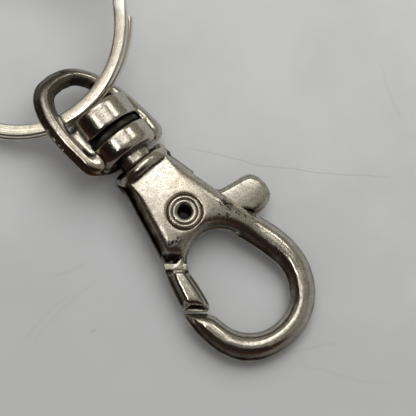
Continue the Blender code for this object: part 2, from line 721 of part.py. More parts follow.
def make_ring():
    """One flat wire wound for nearly two turns. The upper turn is a little smaller and steps down at the
    one place where the wire's ends meet it."""
    radius = RING_RADIUS - RING_WIRE_WIDTH / 2
    rise = RING_WIRE_THICKNESS + RING_TURN_GAP
    first = RING_STEP_PLACE_DEGREES + RING_STEP_DEGREES + RING_END_GAP_DEGREES
    last = RING_STEP_PLACE_DEGREES - RING_END_GAP_DEGREES + 2 * FULL_TURN
    count = round((last - first) / RING_POINT_DEGREES)
    path = []
    for index in range(count + 1):
        turned_by = first + (last - first) * index / count
        share = (turned_by - FULL_TURN - RING_STEP_PLACE_DEGREES) / RING_STEP_DEGREES
        share = min(1.0, max(0.0, share))
        upper = 1 - share * share * (3 - 2 * share)
        reach = radius - RING_TURN_OFFSET * upper
        angle = math.radians(turned_by)
        along = reach * math.sin(angle) - RING_TURN_SHIFT * upper
        path.append(Vector((reach * math.cos(angle), along, rise * (upper - 1 / 2))))
    turn_points = FULL_TURN / RING_POINT_DEGREES
    print("split_ring least gap mm", round(1000 * least_gap(path, turn_points, RING_WIRE_THICKNESS), 3))
    curve = wire_curve("split_ring", path)
    curve.bevel_mode = "OBJECT"
    curve.bevel_object = ring_section()
    curve.twist_mode = "Z_UP"
    ring = settled(linked(bpy.data.objects.new("split_ring", curve), parts))
    return finish(ring, STEEL, 0.22, 1.0)


def empty(name, parent, matrix):
    frame = linked(bpy.data.objects.new(name, None), parts)
    frame.parent = parent
    frame.matrix_local = matrix
    return frame


hook_body = make_hook_body()
pivot_rivet = make_rivet()
trigger_lever = make_lever()
lever_spring = make_spring()
swivel_eye = make_eye()
split_ring = make_ring()

# The clasp lies on the hub and on the end of its loop
lying_reach = HUB_BOTTOM_PLACE + HUB_BOTTOM_EDGE + HOOK_REACH - CROWN_WIDTH
lying_angle = math.atan2(HUB_RADIUS - LOOP_HALF_THICKNESS, lying_reach)
lying_frame = empty("lying_frame", None, Matrix.Rotation(lying_angle, 4, "X"))
roll = Matrix.Rotation(math.radians(EYE_ROLL_DEGREES), 4, "Y")
lean = Matrix.Rotation(math.radians(EYE_LEAN_DEGREES), 4, "Z")
swivel_frame = empty("swivel_frame", lying_frame, Matrix.Translation((0, HEAD_PLACE, 0)) @ lean @ roll)
tilt = Matrix.Rotation(math.radians(-RING_TILT_DEGREES), 4, "Y")
pitch = Matrix.Rotation(math.radians(RING_PITCH_DEGREES), 4, "X")
ring_near = Matrix.Translation((RING_SIDE_SHIFT, RING_NEAR_PLACE, RING_NEAR_RISE))
# The ring swings on its inner side where it bears on the eye's bar, about the X axis of this frame
ring_yaw = Matrix.Rotation(math.radians(-RING_HINGE_YAW_DEGREES), 4, "Z")
ring_frame = empty("ring_frame", lying_frame, ring_near @ pitch @ tilt @ ring_yaw)
ring_centre = Matrix.Translation((0, RING_RADIUS - RING_HINGE_INSET, -RING_HINGE_RISE))
for piece in (hook_body, pivot_rivet, trigger_lever, lever_spring):
    piece.parent = lying_frame
swivel_eye.parent = swivel_frame
split_ring.parent = ring_frame
split_ring.matrix_local = ring_yaw.inverted() @ ring_centre

# Bottom centre of the whole part at the world's origin
bpy.context.view_layer.update()
pieces = (hook_body, pivot_rivet, trigger_lever, lever_spring, swivel_eye, split_ring)
corners = np.array([tuple(piece.matrix_world @ v.co) for piece in pieces for v in piece.data.vertices])
low, high = corners.min(axis=0), corners.max(axis=0)
shift = Vector((-(low[0] + high[0]) / 2, -(low[1] + high[1]) / 2, -low[2]))
lying_frame.matrix_local = Matrix.Translation(shift) @ Matrix.Rotation(lying_angle, 4, "X")
bpy.context.view_layer.update()
print("size mm", [round(1000 * float(x), 2) for x in high - low])
print("faces", [(piece.name, len(piece.data.polygons)) for piece in pieces])
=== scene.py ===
import math

import bmesh
import bpy
import numpy as np
from mathutils import Euler, Matrix, Vector, noise


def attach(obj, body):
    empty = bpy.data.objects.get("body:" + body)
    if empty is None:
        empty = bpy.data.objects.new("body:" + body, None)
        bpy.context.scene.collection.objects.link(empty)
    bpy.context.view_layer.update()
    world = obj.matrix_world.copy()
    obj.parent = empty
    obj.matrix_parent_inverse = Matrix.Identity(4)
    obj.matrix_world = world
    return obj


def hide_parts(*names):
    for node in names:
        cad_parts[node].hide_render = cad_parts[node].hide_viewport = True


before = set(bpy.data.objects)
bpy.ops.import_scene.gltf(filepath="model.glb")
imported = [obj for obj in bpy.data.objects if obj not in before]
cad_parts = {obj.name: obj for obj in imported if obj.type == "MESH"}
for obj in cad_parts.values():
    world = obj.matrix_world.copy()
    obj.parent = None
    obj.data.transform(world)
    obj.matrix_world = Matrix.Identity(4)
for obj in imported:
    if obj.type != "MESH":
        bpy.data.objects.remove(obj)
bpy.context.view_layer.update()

# Hook casting. The body, loop, beak and collar of the clasp are one zinc casting, tumbled so that its
# edges are soft and then plated with nickel. The plate has worn satin on the crown and dirt in the
# grooves. Dark reflection and shade are painted down its flanks, and shade is painted on its neck, on its
# head in the hub's slot and at the mouth where the lever comes out.
HOOK_ORIGIN = (-0.000524, -0.014421, 0.003717)
HOOK_LIFT = math.radians(4.3659)
HOOK_FRAME = Matrix.Translation(HOOK_ORIGIN) @ Matrix.Rotation(HOOK_LIFT, 4, "X")
HOOK_UPRIGHT = HOOK_FRAME.col[2][:3]
HOOK_VOXEL = 0.00011
HOOK_TUMBLING = 12
HOOK_SOFTNESS = 20
RELIEF_ROUNDS = 24
RELIEF_DEPTH = 0.00006
# A flank, where dark reflection and shade are painted, begins where a point faces up by less than this, and
# is full a little further down
FLANK_START = 0.86
FLANK_FADE = 0.2
# The painted shade on the flanks is strongest on the side that looks this way, towards the room's dim side:
# its level, its gain and its least share
SHADED_SIDE = (-0.949, -0.316, 0.0)
SHADED_SIDE_LEVEL = 0.15
SHADED_SIDE_GAIN = 1.1
SHADED_SIDE_LEAST = 0.08


def numbers(mesh, what, field, width):
    """One field of a mesh's points or edges as a table."""
    items = getattr(mesh, what)
    table = np.empty(len(items) * width, np.float32 if field != "vertices" else np.int32)
    items.foreach_get(field, table)
    return table.reshape(-1, width)


def evened(mesh, table, rounds):
    """A table of the mesh's points after each has moved towards its neighbours' mean a few times."""
    one, other = numbers(mesh, "edges", "vertices", 2).T
    count = len(table)
    degree = np.bincount(np.concatenate([one, other]), minlength=count)[:, None]
    table = table.astype(float)
    for _ in range(rounds):
        total = [
            np.bincount(one, table[other, k], count) + np.bincount(other, table[one, k], count)
            for k in range(3)
        ]
        table = (table + np.stack(total, axis=1) / degree) / 2
    return table


def relief(mesh, rounds):
    """How far each point lies below its smoothed surroundings, less than zero where it stands proud."""
    places = numbers(mesh, "vertices", "co", 3)
    return ((evened(mesh, places, rounds) - places) * numbers(mesh, "vertices", "normal", 3)).sum(axis=1)


def note_on_points(mesh, name, values):
    """Keeps one number for each point, for the piece's material to read."""
    mesh.attributes.new(name, "FLOAT", "POINT").data.foreach_set("value", np.asarray(values, np.float32))


def casting_skin(node, name, voxel, tumbling, softness, upright, reshape=None):
    """A casting over a CAD solid: the same shape with its facets and edges tumbled soft. softness
    is how many rounds its shading is evened. upright is the direction square to its plate, from
    which its flanks turn away. reshape gives the last touch to its shape."""
    piece = bpy.data.objects.new(name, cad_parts[node].data.copy())
    bpy.context.scene.collection.objects.link(piece)
    skin = piece.modifiers.new("skin", "REMESH")
    skin.mode = "VOXEL"
    skin.voxel_size = voxel
    tumbled = piece.modifiers.new("tumbled", "SMOOTH")
    tumbled.factor = 0.5
    tumbled.iterations = tumbling
    mesh = bpy.data.meshes.new_from_object(piece.evaluated_get(bpy.context.evaluated_depsgraph_get()))
    piece.modifiers.clear()
    piece.data = mesh
    mesh.name = name
    mesh.materials.clear()
    if reshape:
        reshape(mesh)
    mesh.shade_smooth()
    depth = relief(mesh, RELIEF_ROUNDS) / RELIEF_DEPTH
    note_on_points(mesh, "hollow", np.clip(depth, 0, 1))
    note_on_points(mesh, "proud", np.clip(-depth, 0, 1))
    normals = numbers(mesh, "vertices", "normal", 3)
    # Where dark reflection and shade are painted: steep faces, most of all those facing the room's dim side
    steep = np.clip((FLANK_START - np.abs(normals @ np.array(upright))) / FLANK_FADE, 0, 1)
    shaded_side = np.clip(SHADED_SIDE_LEVEL + SHADED_SIDE_GAIN * (normals @ np.array(SHADED_SIDE)), SHADED_SIDE_LEAST, 1)
    note_on_points(mesh, "flank_shade", steep * shaded_side)
    soft = evened(mesh, normals, softness)
    soft /= np.linalg.norm(soft, axis=1)[:, None]
    mesh.normals_split_custom_set_from_vertices(soft.tolist())
    return piece


def places_on_clasp(mesh):
    """The mesh's points as the clasp has them: across, along and up from the rivet's middle."""
    turn = np.array(HOOK_FRAME.to_3x3())
    return (numbers(mesh, "vertices", "co", 3) - np.array(HOOK_FRAME.translation)) @ turn


def put_back(mesh, places):
    """Puts points that are given as the clasp has them back into the mesh."""
    places = places @ np.array(HOOK_FRAME.to_3x3()).T + np.array(HOOK_FRAME.translation)
    mesh.vertices.foreach_set("co", places.astype(np.float32).ravel())
    mesh.update()


def at_hook(across, along, up=0.0028):
    """A place as the scene has it. across and along are in millimetres from the rivet, up in metres."""
    return tuple(HOOK_FRAME @ Vector((across / 1000, along / 1000, up)))


# On the two faces the bead sits this much closer to the rivet, over a run along the clasp
COLLAR_SET_BACK = 0.0006
COLLAR_RUN = (0.003, 0.0078, 0.0102, 0.0116)
COLLAR_RISE = (0.0009, 0.0017)
# The crown's height, and where along the clasp the groove at the bead's foot lets it end
CROWN_TOP = 0.00282
GROOVE_RUN = (0.0077, 0.0079)
# The sharp corners of the body's edge beside the bead are trimmed to this width each side
SHOULDER = 0.00425
SHOULDER_RUN = (0.0074, 0.0077, 0.0088, 0.0091)
UNTRIMMED = 1.0


def set_back_collar(mesh):
    """On the clasp's two faces the bead and the end of the crown sit closer to the body, and the crown
    runs level up to the groove at the bead's foot."""
    places = places_on_clasp(mesh)
    across, along, up = places.T
    share = np.interp(along, COLLAR_RUN, (0, 1, 1, 0)) * np.interp(np.abs(up), COLLAR_RISE, (0, 1))
    along -= COLLAR_SET_BACK * share
    highest = np.interp(along, GROOVE_RUN, (CROWN_TOP, 3 * CROWN_TOP))
    up[:] = np.copysign(np.minimum(np.abs(up), highest), up)
    widest = np.interp(along, SHOULDER_RUN, (UNTRIMMED, SHOULDER, SHOULDER, UNTRIMMED))
    across[:] = np.copysign(np.minimum(np.abs(across), widest), across)
    put_back(mesh, places)


NICKEL_LIGHT = (0.66, 0.62, 0.54, 1)
NICKEL_DULL = (0.44, 0.41, 0.35, 1)
NICKEL_WARM = (0.78, 0.62, 0.45, 1)
# The colour of dirt, and of painted shade in dark spots under and between parts
GRIME_AND_SHADE = (0.014, 0.01, 0.008, 1)
# This dark colour tints the fine pepper, and is also painted as dark reflection and shade on the flanks and
# in dimmed spots
TARNISH_AND_SHADE = (0.03, 0.019, 0.014, 1)
COPPERY = (0.2, 0.115, 0.07, 1)
WHITE = (1, 1, 1, 1)
# Each kind of blotch in the plate: waves to the metre, detail, roughness and warp
MOTTLE = (900, 3, 0.6)
FINE_MOTTLE = (5200, 3, 0.65)
WARM_CLOUDS = (1500, 4, 0.6, 0.6)
GRAIN = (8500, 2, 0.7)
PEPPER = (4800, 4, 0.75)
# Blotches that make the painted flank shade uneven
FLANK_SHADE_BLOTCHES = (500, 3, 0.6, 0.5)
SPECKS = (3800, 4, 0.7, 0.8)
FLAKES = (4600, 4, 0.65, 0.5)
RUBBING = (16000, 2, 0.6)
# How far flakes and rubbing marks are turned and drawn out
FLAKES_DRAWN = (0.9, 0.45)
RUBBING_DRAWN = (0.5, 0.09)
# Where each of them sets in and is full, and what it gives at the two if not 0 and 1
MOTTLED = (0.35, 0.7, 0.0, 0.7)
WARMED = (0.5, 0.75, 0.0, 0.35)
WARM_PATCHY = (0.3, 0.7)
GRAINED = (0.4, 0.7, 0.0, 0.5)
PEPPERED = (0.53, 0.62, 0.0, 0.72)
FLANK_SHADE_PATCHY = (0.25, 0.65)
HOLLOW_FILLED = (0.15, 0.95)
DIRT_PATCHY = (0.2, 0.55)
SPECKLED = (0.62, 0.72, 0.0, 0.6)
FLAKED = (0.47, 0.52)
# The painted shade spots are patchy over this range
SHADE_SPOT_PATCHY = (0.2, 0.6)
SATIN_PATCHY = (0.3, 0.75)
# Proud edges keep less of the painted flank shade
PROUD_LESS_SHADED = (0.15, 0.7, 1.0, 0.3)
METAL_COVERED = (0.7, 1.0, 1.0, 0.0)
# The full part of a round spot, the least of the painted flank shade and of a painted shade spot, the
# strength of a warm spot, and how much scarcer flakes are away from the pitted spots
SPOT_CORE = 0.3
FLANK_SHADE_LEAST = 0.8
SHADE_SPOT_LEAST = 0.97
WARM_STRENGTH = 0.7
FLAKES_SCARCER = 0.5
# How much rougher a matt spot and dirt with painted shade are, and how much smoother a proud edge is
MATT_ADDS = 0.13
DIRT_AND_SHADE_ADDS = 0.3
PROUD_TAKES = 0.04
# The plate's relief: its depth, how strong it is, and the shares of mottle, rubbing marks, and dirt with
# painted shade
PLATE_RELIEF = 0.00002
RELIEF_STRENGTH = 0.75
MOTTLE_RISES = 0.8
RUBBING_RISES = 0.35
DIRT_AND_SHADE_SINKS = 0.6


def shader_step(tree, kind, inputs=None, **settings):
    """One step of a material, with its settings and what feeds it."""
    step = tree.nodes.new("ShaderNode" + kind)
    for name, value in settings.items():
        setattr(step, name, value)
    for key, value in (inputs or {}).items():
        if isinstance(value, bpy.types.NodeSocket):
            tree.links.new(value, step.inputs[key])
        else:
            step.inputs[key].default_value = value
    return step


def math_step(tree, operation, first, second=0.0):
    """One step of arithmetic on one value or two."""
    return shader_step(tree, "Math", {0: first, 1: second}, operation=operation).outputs[0]


def between(tree, value, low, high, to_low=0.0, to_high=1.0):
    """A value spread from one range over another, smoothly."""
    inputs = {"Value": value, "From Min": low, "From Max": high, "To Min": to_low, "To Max": to_high}
    return shader_step(tree, "MapRange", inputs, interpolation_type="SMOOTHSTEP").outputs["Result"]


def blotches(tree, place, scale, detail=2.0, roughness=0.5, warp=0.0):
    """Soft uneven blotches, from 0 to 1, with most of them near the middle."""
    inputs = {"Vector": place, "Scale": scale, "Detail": detail, "Roughness": roughness, "Distortion": warp}
    return shader_step(tree, "TexNoise", inputs).outputs["Fac"]


def tinted(tree, share, one, other):
    """One colour turning into another by a share. A colour mix has its colours on sockets 6 and 7."""
    return shader_step(tree, "Mix", {0: share, 6: one, 7: other}, data_type="RGBA").outputs[2]


def drawn_out(tree, place, turned, squeezed):
    """A place for blotches that are drawn out along one direction."""
    inputs = {"Vector": place, "Rotation": (0.0, 0.0, turned), "Scale": (1.0, squeezed, 1.0)}
    return shader_step(tree, "Mapping", inputs).outputs["Vector"]


def noted(tree, name):
    """A number that was noted on the piece's points."""
    return shader_step(tree, "Attribute", attribute_name=name).outputs["Fac"]


def apart(tree, place, centre):
    """How far a place is from a centre."""
    return shader_step(tree, "VectorMath", {0: place, 1: centre}, operation="DISTANCE").outputs["Value"]


def spot(tree, place, centre, radius):
    """One inside a round spot of the metal, falling to nothing at its edge."""
    return between(tree, apart(tree, place, centre), radius, radius * SPOT_CORE)


def fresh_material(name):
    """A new material, with its tree, its shader and the place on the piece."""
    material = bpy.data.materials.new(name)
    material.use_nodes = True
    tree = material.node_tree
    place = shader_step(tree, "TexCoord").outputs["Object"]
    return material, tree, tree.nodes["Principled BSDF"], place


def plated_metal(tree, place, broad, fine, warm):
    """The clean plate: mottled, warm in places, with a dull grain and fine dark pepper."""
    metal = tinted(tree, between(tree, broad, *MOTTLED), NICKEL_LIGHT, NICKEL_DULL)
    warmth = between(tree, blotches(tree, place, *WARM_CLOUDS), *WARMED)
    for centre, radius in warm:
        near = math_step(tree, "MULTIPLY", spot(tree, place, centre, radius), WARM_STRENGTH)
        near = math_step(tree, "MULTIPLY", near, between(tree, fine, *WARM_PATCHY))
        warmth = math_step(tree, "MAXIMUM", warmth, near)
    metal = tinted(tree, warmth, metal, NICKEL_WARM)
    grain = between(tree, blotches(tree, place, *GRAIN), *GRAINED)
    metal = tinted(tree, grain, metal, NICKEL_DULL)
    pepper = between(tree, blotches(tree, place, *PEPPER), *PEPPERED)
    return tinted(tree, pepper, metal, TARNISH_AND_SHADE)


def settled_dirt_and_shade(tree, place, hollow, broad, fine, pitted, shade_spots):
    """How much dirt and painted shade cover the plate: dirt in its hollows, as specks and in flaked pits,
    and painted shade in the shade spots.
    """
    filled = between(tree, hollow, *HOLLOW_FILLED)
    dirt_and_shade = math_step(tree, "MULTIPLY", filled, between(tree, fine, *DIRT_PATCHY))
    specks = between(tree, blotches(tree, place, *SPECKS), *SPECKLED)
    dirt_and_shade = math_step(tree, "MAXIMUM", dirt_and_shade, specks)
    if pitted:
        flakes = blotches(tree, drawn_out(tree, place, *FLAKES_DRAWN), *FLAKES)
        region = 0.0
        for centre, radius in pitted:
            region = math_step(tree, "MAXIMUM", region, spot(tree, place, centre, radius))
        scarce = math_step(tree, "MULTIPLY", math_step(tree, "SUBTRACT", 1.0, region), FLAKES_SCARCER)
        pits = between(tree, math_step(tree, "SUBTRACT", flakes, scarce), *FLAKED)
        dirt_and_shade = math_step(tree, "MAXIMUM", dirt_and_shade, pits)
    # Painted shade: dark spots under and between parts
    for centre, radius, strength in shade_spots:
        darkened = between(tree, broad, *SHADE_SPOT_PATCHY, SHADE_SPOT_LEAST * strength, strength)
        darkened = math_step(tree, "MULTIPLY", spot(tree, place, centre, radius), darkened)
        dirt_and_shade = math_step(tree, "MAXIMUM", dirt_and_shade, darkened)
    return dirt_and_shade


def plate_roughness(tree, place, broad, proud, dirt_and_shade, satin, matt):
    """How rough the plate is: its satin, rougher on matt spots, dirt and painted shade, smoother on proud
    edges.
    """
    rough = between(tree, broad, *SATIN_PATCHY, *satin)
    for centre, radius in matt:
        added = math_step(tree, "MULTIPLY", spot(tree, place, centre, radius), MATT_ADDS)
        rough = math_step(tree, "ADD", rough, added)
    rough = math_step(tree, "SUBTRACT", rough, math_step(tree, "MULTIPLY", proud, PROUD_TAKES))
    return math_step(tree, "ADD", rough, math_step(tree, "MULTIPLY", dirt_and_shade, DIRT_AND_SHADE_ADDS))


def plate_relief(tree, place, fine, dirt_and_shade, domed):
    """The plate's fine unevenness, its rubbing marks, and its pits, dirt and painted shade sunk a little,
    over slightly domed faces.
    """
    rubbed = blotches(tree, drawn_out(tree, place, *RUBBING_DRAWN), *RUBBING)
    height = math_step(tree, "MULTIPLY", fine, MOTTLE_RISES)
    height = math_step(tree, "ADD", height, math_step(tree, "MULTIPLY", rubbed, RUBBING_RISES))
    height = math_step(tree, "SUBTRACT", height, math_step(tree, "MULTIPLY", dirt_and_shade, DIRT_AND_SHADE_SINKS))
    inputs = {"Height": height, "Strength": RELIEF_STRENGTH, "Distance": PLATE_RELIEF}
    normal = shader_step(tree, "Bump", inputs).outputs["Normal"]
    for centre, radius, rise in domed:
        swell = between(tree, apart(tree, place, centre), 0.0, radius, rise, 0.0)
        inputs = {"Height": swell, "Distance": 1.0, "Normal": normal}
        normal = shader_step(tree, "Bump", inputs).outputs["Normal"]
    return normal


def worn_nickel(name, satin, flank_shade_strength, pitted=(), warm=(), shade_spots=(), matt=(), domed=(), dimmed=()):
    """Satin nickel plate: mottled, dirty in its hollows, and with painted dark reflection and shade down its
    flanks. satin is the range of its roughness, and the second number how strong the painted flank shade
    is. pitted, warm and matt list spots of wear, each with a centre and a radius. The spots of painted
    shade, dark ones and dimming ones, also have a strength, and a domed spot the height that the face
    swells by."""
    material, tree, shader, place = fresh_material(name)
    hollow, proud, flank_shade = (noted(tree, what) for what in ("hollow", "proud", "flank_shade"))
    # The painted flank shade, less on proud edges
    flank_shade = math_step(tree, "MULTIPLY", flank_shade, between(tree, proud, *PROUD_LESS_SHADED))
    broad = blotches(tree, place, *MOTTLE)
    fine = blotches(tree, place, *FINE_MOTTLE)
    metal = plated_metal(tree, place, broad, fine, warm)
    # Painted shade: each dimmed spot darkens the metal and its reflection
    for centre, radius, strength in dimmed:
        share = math_step(tree, "MULTIPLY", spot(tree, place, centre, radius), strength)
        metal = tinted(tree, share, metal, TARNISH_AND_SHADE)
    # Painted dark reflection and shade down the flanks, uneven in blotches
    flank_shade_share = between(tree, blotches(tree, place, *FLANK_SHADE_BLOTCHES), *FLANK_SHADE_PATCHY, FLANK_SHADE_LEAST * flank_shade_strength, flank_shade_strength)
    metal = tinted(tree, math_step(tree, "MULTIPLY", flank_shade, flank_shade_share), metal, TARNISH_AND_SHADE)
    dirt_and_shade = settled_dirt_and_shade(tree, place, hollow, broad, fine, pitted, shade_spots)
    # The colour of dirt and painted shade, coppery on warm spots
    darkened = GRIME_AND_SHADE
    for centre, radius in warm:
        darkened = tinted(tree, spot(tree, place, centre, radius), darkened, COPPERY)
    clean = math_step(tree, "SUBTRACT", 1.0, dirt_and_shade)
    # The reflection's tint is darkened by dirt, by the painted shade spots and by the painted flank shade
    dull = math_step(tree, "MAXIMUM", dirt_and_shade, math_step(tree, "MULTIPLY", flank_shade, flank_shade_strength))
    finish = {
        "Base Color": tinted(tree, dirt_and_shade, metal, darkened),
        "Metallic": between(tree, dirt_and_shade, *METAL_COVERED),
        "Specular IOR Level": math_step(tree, "MULTIPLY", clean, 0.5),
        "Specular Tint": tinted(tree, dull, WHITE, TARNISH_AND_SHADE),
        "Roughness": plate_roughness(tree, place, broad, proud, dirt_and_shade, satin, matt),
        "Normal": plate_relief(tree, place, fine, dirt_and_shade, domed),
    }
    for socket, value in finish.items():
        tree.links.new(value, shader.inputs[socket])
    return material


HOOK_SATIN = (0.12, 0.22)
# How strong the painted flank shade is
HOOK_FLANK_SHADE = 0.95
HOOK_PITS = [
    (at_hook(4.9, -2.3), 0.0014), (at_hook(5.3, -3.4), 0.0014), (at_hook(5.7, -4.8), 0.0011),
    (at_hook(6.2, -5.8), 0.0012), (at_hook(4.2, -4.2), 0.0008), (at_hook(3.3, -3.4), 0.0007),
    (at_hook(-4.2, -2.1), 0.0011), (at_hook(-3.2, -2.5), 0.0012), (at_hook(4.1, 8.6, 0.002), 0.0008),
]
HOOK_WARM = [(at_hook(0, 0), 0.0042), (at_hook(2.5, 3.0), 0.003)]
# Painted shade on the neck between the hub and the bead, on the head in the hub's slot, and in the mouth
# where the lever comes out
HOOK_SHADE_SPOTS = [
    (at_hook(0, 11.9, 0), 0.0036, 0.97), (at_hook(-2.5, 10.9, 0), 0.0018, 1.0),
    (at_hook(0, 16.5, 0), 0.0085, 1.0), (at_hook(0, 16.5, 0.0044), 0.005, 1.0),
    (at_hook(-3.1, 16.5, 0.003), 0.005, 1.0), (at_hook(2.8, 16.5, 0.0034), 0.005, 1.0),
    (at_hook(-5.2, -3.3, 0.001), 0.0018, 1.0), (at_hook(-5.4, -3.2, -0.001), 0.0018, 1.0),
]
HOOK_MATT = [(at_hook(0, 0), 0.011)]
HOOK_DOME = [(at_hook(0, 0), 0.011, 0.001)]

hook_casting = casting_skin(
    "hook_body", "hook_casting", HOOK_VOXEL, HOOK_TUMBLING, HOOK_SOFTNESS, HOOK_UPRIGHT, set_back_collar
)
hook_nickel = worn_nickel(
    "worn_nickel_hook", HOOK_SATIN, HOOK_FLANK_SHADE, HOOK_PITS, HOOK_WARM, HOOK_SHADE_SPOTS, HOOK_MATT, HOOK_DOME
)
hook_casting.data.materials.append(hook_nickel)
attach(hook_casting, "clasp")
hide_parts("hook_body")

# Rivet. A short nickel plated tube through the body and the lever. Both its ends are rolled over
# outwards into a lip, and it stays open right through.
RIVET_BORE = 0.00088
RIVET_TUBE = 0.00145
RIVET_SEAT = 0.0025
# The crest and the rim, each with its radius and height, and how round it is. Outside the crest the
# lip turns down by half a turn, divided by the crest's fall
RIVET_CREST = (0.00146, 0.00302)
RIVET_CREST_ROUND = 0.0003
RIVET_CREST_FALL = 1.9
RIVET_RIM = (0.00203, 0.0028)
RIVET_RIM_ROUND = 0.00028
RIVET_STEPS = 96
LIP_STEPS = 14
LIP_WOBBLE = 0.00001
LIP_WOBBLE_SCALE = 900
# Painted shade on the rivet, out to each radius: black in the bore and a darker line where the lip folds
BORE_SHADE_STEPS = ((0.00099, 1.0), (0.00134, 0.4), (0.00168, 0.0), (0.00182, 0.4), (0.003, 0.0))
RIVET_PROUD = 0.6
RIVET_SATIN = (0.18, 0.28)
CREASE = math.radians(50)


def rivet_profile():
    """From the bore up over the rolled crest, down to the outer rim and along the tube to its far end."""
    crest, top = RIVET_CREST
    low = top - RIVET_CREST_ROUND
    middle, height = RIVET_RIM
    turns = [math.pi * index / LIP_STEPS for index in range(LIP_STEPS + 1)]
    upper = []
    for turn in turns:
        out = (crest - RIVET_BORE) * math.cos(turn / 2)
        upper.append((crest - out, RIVET_SEAT + (top - RIVET_SEAT) * math.sin(turn / 2)))
    for turn in turns[1:]:
        over = turn / RIVET_CREST_FALL
        upper.append((crest + RIVET_CREST_ROUND * math.sin(over), low + RIVET_CREST_ROUND * math.cos(over)))
    for turn in turns[2:]:
        upper.append((middle - RIVET_RIM_ROUND * math.cos(turn), height + RIVET_RIM_ROUND * math.sin(turn)))
    upper += [(middle + RIVET_RIM_ROUND, RIVET_SEAT), (RIVET_TUBE, RIVET_SEAT)]
    return upper + [(radius, -place) for radius, place in reversed(upper)]


def turned_piece(name, profile, steps):
    """A closed profile of radii and heights, turned about the upright axis."""
    shape = bmesh.new()
    rings = []
    for index in range(steps):
        angle = 2 * math.pi * index / steps
        rings.append([shape.verts.new((r * math.cos(angle), r * math.sin(angle), z)) for r, z in profile])
    for one, other in zip(rings, rings[1:] + rings[:1]):
        for k in range(len(profile)):
            after = (k + 1) % len(profile)
            shape.faces.new((one[k], one[after], other[after], other[k]))
    bmesh.ops.recalc_face_normals(shape, faces=shape.faces)
    mesh = bpy.data.meshes.new(name)
    shape.to_mesh(mesh)
    shape.free()
    mesh.shade_smooth()
    piece = bpy.data.objects.new(name, mesh)
    bpy.context.scene.collection.objects.link(piece)
    return piece


rivet = turned_piece("rolled_rivet", rivet_profile(), RIVET_STEPS)
rivet_points = rivet.data.vertices
for point in rivet_points:
    lopsided = LIP_WOBBLE * noise.noise(point.co * LIP_WOBBLE_SCALE)
    point.co.z += math.copysign(lopsided, point.co.z) - math.copysign(LIP_WOBBLE, point.co.z)
# Painted shade for each point of the rivet, by its radius
bore_shade = [next(soot for reach, soot in BORE_SHADE_STEPS if point.co.xy.length < reach) for point in rivet_points]
rivet.data.transform(HOOK_FRAME)
rivet.data.set_sharp_from_angle(angle=CREASE)
note_on_points(rivet.data, "hollow", bore_shade)
note_on_points(rivet.data, "proud", np.full(len(rivet_points), RIVET_PROUD))
note_on_points(rivet.data, "flank_shade", np.zeros(len(rivet_points)))
rivet.data.materials.append(worn_nickel("rivet_nickel", RIVET_SATIN, 0.0))
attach(rivet, "clasp")
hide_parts("pivot_rivet")

# Lever. One casting: thumb tab, hub on the rivet, the arm in the body's slot and the thick gate
# finger. It is plated like the body, and the tab is worn by thumbs.
LEVER_VOXEL = 0.0001
LEVER_TUMBLING = 5
LEVER_SOFTNESS = 6
# The ledge where the finger begins, the way down from it, and the arm's end between it and the foot
BLOCK_LINE = (-0.00703, -0.00433)
BLOCK_DOWN = (-0.651, -0.758)
BLOCK_REACH = (-0.00105, -0.00005)
BLOCK_SIDE = -0.0035
BLOCK_LOW = 0.0002
BLOCK_TOP = 0.0009
BLOCK_FACING = (0.12, 0.2)
FINGER_REACH = 0.0002
FINGER_REACH_RUN = 0.0015
LEVER_SATIN = (0.12, 0.22)
# How strong the painted flank shade is
LEVER_FLANK_SHADE = 0.8
# Painted shade in the mouth where the arm comes out of the body
LEVER_SHADE_SPOTS = [(at_hook(-5.2, -3.4, 0.0008), 0.0014, 1.0), (at_hook(-6.0, -2.8, 0.0008), 0.0014, 1.0)]
TAB_FACE = [(at_hook(9.2, -3.6, 0.001), 0.0035)]
TAB_DOME = [(at_hook(10.1, -3.4, 0.001), 0.0045, 0.0004)]


def square_block(mesh):
    """Gives the arm's end, between the foot and the finger's ledge, a flat top right to its sides, and
    brings the finger's tip up to the beak."""
    places = places_on_clasp(mesh)
    across, along, up = places.T
    facing = np.abs((numbers(mesh, "vertices", "normal", 3) @ np.array(HOOK_FRAME.to_3x3()))[:, 2])
    down = (places[:, :2] - np.array(BLOCK_LINE)) @ np.array(BLOCK_DOWN)
    high = np.abs(up)
    first, last = BLOCK_REACH
    inside = (down > first) & (down < last) & (across < BLOCK_SIDE) & (high > BLOCK_LOW)
    level, fade = BLOCK_FACING
    raised = high + (np.maximum(high, BLOCK_TOP) - high) * np.clip((facing - level) / fade, 0, 1)
    up[:] = np.where(inside, np.copysign(raised, up), up)
    tip = along.min()
    along -= np.interp(along, (tip, tip + FINGER_REACH_RUN), (FINGER_REACH, 0))
    put_back(mesh, places)


lever = casting_skin(
    "trigger_lever", "lever_casting", LEVER_VOXEL, LEVER_TUMBLING, LEVER_SOFTNESS, HOOK_UPRIGHT, square_block
)
lever_nickel = worn_nickel(
    "worn_nickel_lever", LEVER_SATIN, LEVER_FLANK_SHADE, shade_spots=LEVER_SHADE_SPOTS, matt=TAB_FACE, domed=TAB_DOME
)
lever.data.materials.append(lever_nickel)
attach(lever, "trigger")
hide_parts("trigger_lever")

# Lever spring. Open coil of spring wire between the pocket in the body and the lever's flat seat.
# It is the CAD solid with a finish of its own: drawn steel, browned where oil has dried on it.
SPRING_STEEL = (0.34, 0.32, 0.3, 1)
SPRING_BROWN = (0.14, 0.1, 0.07, 1)
SPRING_BLOTCHES = (3000, 4, 0.6)
SPRING_BROWNED = (0.35, 0.7)
SPRING_SATIN = (0.3, 0.55)

